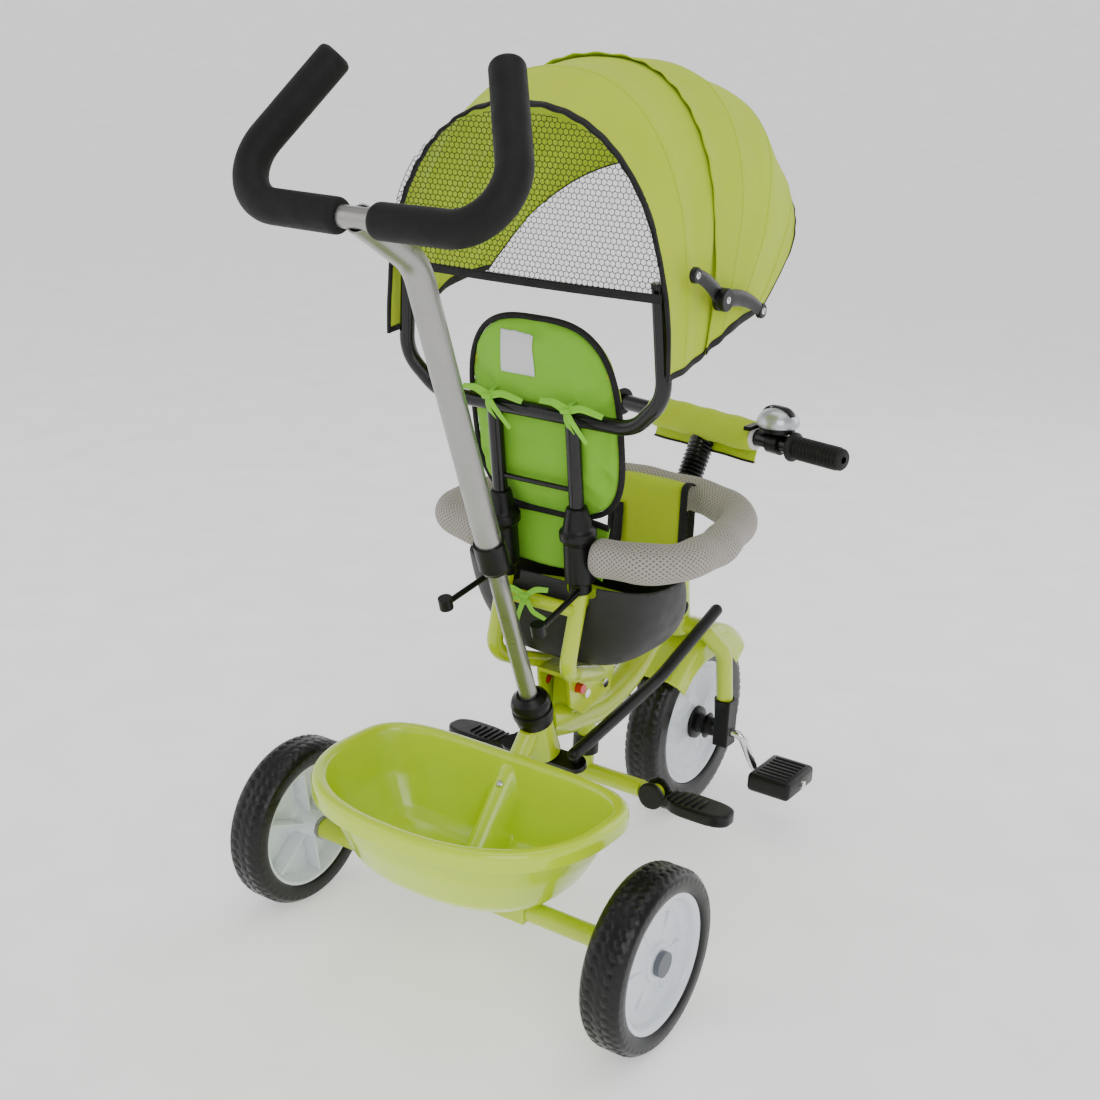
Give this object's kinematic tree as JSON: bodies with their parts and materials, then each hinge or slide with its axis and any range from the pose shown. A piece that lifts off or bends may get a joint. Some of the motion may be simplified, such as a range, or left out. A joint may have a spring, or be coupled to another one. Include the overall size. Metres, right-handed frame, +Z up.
{
  "type": "push tricycle",
  "caption": "Children's push tricycle with parent handle, folding canopy, padded seat with guard ring, pedals, foot rest and rear basket.",
  "frame": {"origin": "on the ground under the middle of the whole tricycle's bounding box", "axes": "+Z up, -Y forward, +X to the rider's left"},
  "size_m": [0.534, 0.8315, 1.0012],
  "materials": {
    "lime_paint": "gloss powder coat",
    "black_paint": "satin black",
    "steel": "satin plated tube",
    "chrome": "polished",
    "black_plastic": "moulded",
    "lime_plastic": "gloss moulded",
    "white_plastic": "gloss moulded",
    "grey_plastic": "moulded",
    "red_plastic": "gloss moulded",
    "foam_tyre": "moulded EVA tread",
    "foam_rubber": "matt foam",
    "bellows_rubber": "ribbed",
    "lime_fabric": "woven polyester",
    "green_fabric": "woven polyester",
    "mesh_fabric": "open net",
    "grey_mesh": "spacer mesh over foam"
  },
  "bodies": {
    "frame": {"bow_tube": "lime_paint", "head_tube": "lime_paint", "rear_post": "lime_paint", "rear_stay": "lime_paint", "axle_beam": "lime_paint", "seat_mount": "lime_paint", "axle_rod": "steel", "base_collar": "black_plastic", "foot_frame": "lime_paint", "foot_bushing": "black_plastic", "rear_basket": "lime_plastic"},
    "rear_wheel_left": {"rear_tyre_left": "foam_tyre", "rear_rim_left": "white_plastic", "hub_cap_left": "grey_plastic"},
    "rear_wheel_right": {"rear_tyre_right": "foam_tyre", "rear_rim_right": "white_plastic", "hub_cap_right": "grey_plastic"},
    "foot_peg_left": {"foot_peg_left": "black_plastic"},
    "foot_peg_right": {"foot_peg_right": "black_plastic"},
    "push_column": {"push_lower_tube": "steel", "steering_lever": "black_plastic"},
    "push_handle": {"clamp_collar": "black_plastic", "push_upper_tube": "steel", "foam_grips": "foam_rubber"},
    "steering_rod": {"steering_rod": "black_plastic"},
    "fork": {"fork_frame": "lime_paint", "steering_stem": "black_paint", "front_fender": "lime_plastic", "axle_brackets": "black_plastic", "handlebar": "black_paint", "handlebar_pad": "lime_fabric", "handlebar_grips": "black_plastic", "bell_base": "black_plastic", "bell_dome": "chrome", "stem_bellows": "bellows_rubber"},
    "bell_lever": {"bell_lever": "black_plastic"},
    "front_wheel": {"front_tyre": "foam_tyre", "front_rim": "white_plastic", "front_hub": "black_plastic", "crank_axle": "chrome"},
    "pedal_left": {"pedal_left": "black_plastic"},
    "pedal_right": {"pedal_right": "black_plastic"},
    "seat": {"seat_tubes": "lime_paint", "seat_bracket": "lime_paint", "seat_bolts": "chrome", "seat_sockets": "black_plastic", "back_frame": "black_paint", "bag_hooks": "black_plastic", "seat_shell": "black_plastic", "seat_cushion": "lime_fabric", "back_cushion": "green_fabric", "crotch_guard": "lime_fabric", "guard_ring": "grey_mesh", "canopy_rear": "lime_fabric", "canopy_mesh": "mesh_fabric", "canopy_hinges": "black_plastic"},
    "canopy_front": {"canopy_front": "lime_fabric", "canopy_levers": "black_plastic"},
    "release_button_left": {"release_button_left": "red_plastic"},
    "release_button_right": {"release_button_right": "red_plastic"}
  },
  "joints": [
    {"name": "rear_wheel_left_spin", "type": "hinge", "parent": "frame", "child": "rear_wheel_left", "pos_m": [0.243, 0.2167, 0.1015], "axis": [1, 0, 0], "continuous": true},
    {"name": "rear_wheel_right_spin", "type": "hinge", "parent": "frame", "child": "rear_wheel_right", "pos_m": [-0.243, 0.2167, 0.1015], "axis": [1, 0, 0], "continuous": true},
    {"name": "steer", "type": "hinge", "parent": "frame", "child": "fork", "pos_m": [0, -0.2453, 0.294], "axis": [0, 0.1736, 0.9848], "range_deg": [-30, 30]},
    {"name": "push_turn", "type": "hinge", "parent": "frame", "child": "push_column", "pos_m": [0, 0.0777, 0.245], "axis": [0, 0.3939, 0.9191], "range_deg": [-30, 30]},
    {"name": "rod_swing", "type": "hinge", "parent": "push_column", "child": "steering_rod", "pos_m": [-0.046, 0.06131, 0.20676], "axis": [0, 0.3939, 0.9191], "range_deg": [-30, 30]},
    {"name": "push_height", "type": "slide", "parent": "push_column", "child": "push_handle", "axis": [0, 0.3939, 0.9191], "range_m": [-0.06, 0]},
    {"name": "front_wheel_spin", "type": "hinge", "parent": "fork", "child": "front_wheel", "pos_m": [0, -0.2893, 0.1265], "axis": [1, 0, 0], "continuous": true},
    {"name": "pedal_left_spin", "type": "hinge", "parent": "front_wheel", "child": "pedal_left", "pos_m": [0.14, -0.27351, 0.17814], "axis": [1, 0, 0], "continuous": true},
    {"name": "pedal_right_spin", "type": "hinge", "parent": "front_wheel", "child": "pedal_right", "pos_m": [-0.14, -0.30509, 0.07486], "axis": [1, 0, 0], "continuous": true},
    {"name": "bell_thumb", "type": "hinge", "parent": "fork", "child": "bell_lever", "pos_m": [-0.08904, -0.24694, 0.562], "axis": [0, 0, 1], "range_deg": [0, 20], "stiffness_Nm_per_rad": 0.02},
    {"name": "foot_peg_left_fold", "type": "hinge", "parent": "frame", "child": "foot_peg_left", "pos_m": [0.102, -0.0333, 0.147], "axis": [0, -1, 0], "range_deg": [0, 90]},
    {"name": "foot_peg_right_fold", "type": "hinge", "parent": "frame", "child": "foot_peg_right", "pos_m": [-0.102, -0.0333, 0.147], "axis": [0, 1, 0], "range_deg": [0, 90]},
    {"name": "canopy_fold", "type": "hinge", "parent": "seat", "child": "canopy_front", "pos_m": [0, 0.0717, 0.767], "axis": [-1, 0, 0], "range_deg": [0, 55]},
    {"name": "seat_lift", "type": "slide", "parent": "frame", "child": "seat", "axis": [0, 0, 1], "range_m": [0, 0.06]},
    {"name": "release_left", "type": "slide", "parent": "seat", "child": "release_button_left", "axis": [-1, 0, 0], "range_m": [0, 0.003], "stiffness_N_per_m": 400},
    {"name": "release_right", "type": "slide", "parent": "seat", "child": "release_button_right", "axis": [1, 0, 0], "range_m": [0, 0.003], "stiffness_N_per_m": 400}
  ],
  "couplings": [
    {"joint": "push_turn", "follows": "steer", "ratio": 1},
    {"joint": "rod_swing", "follows": "steer", "ratio": -1}
  ]
}
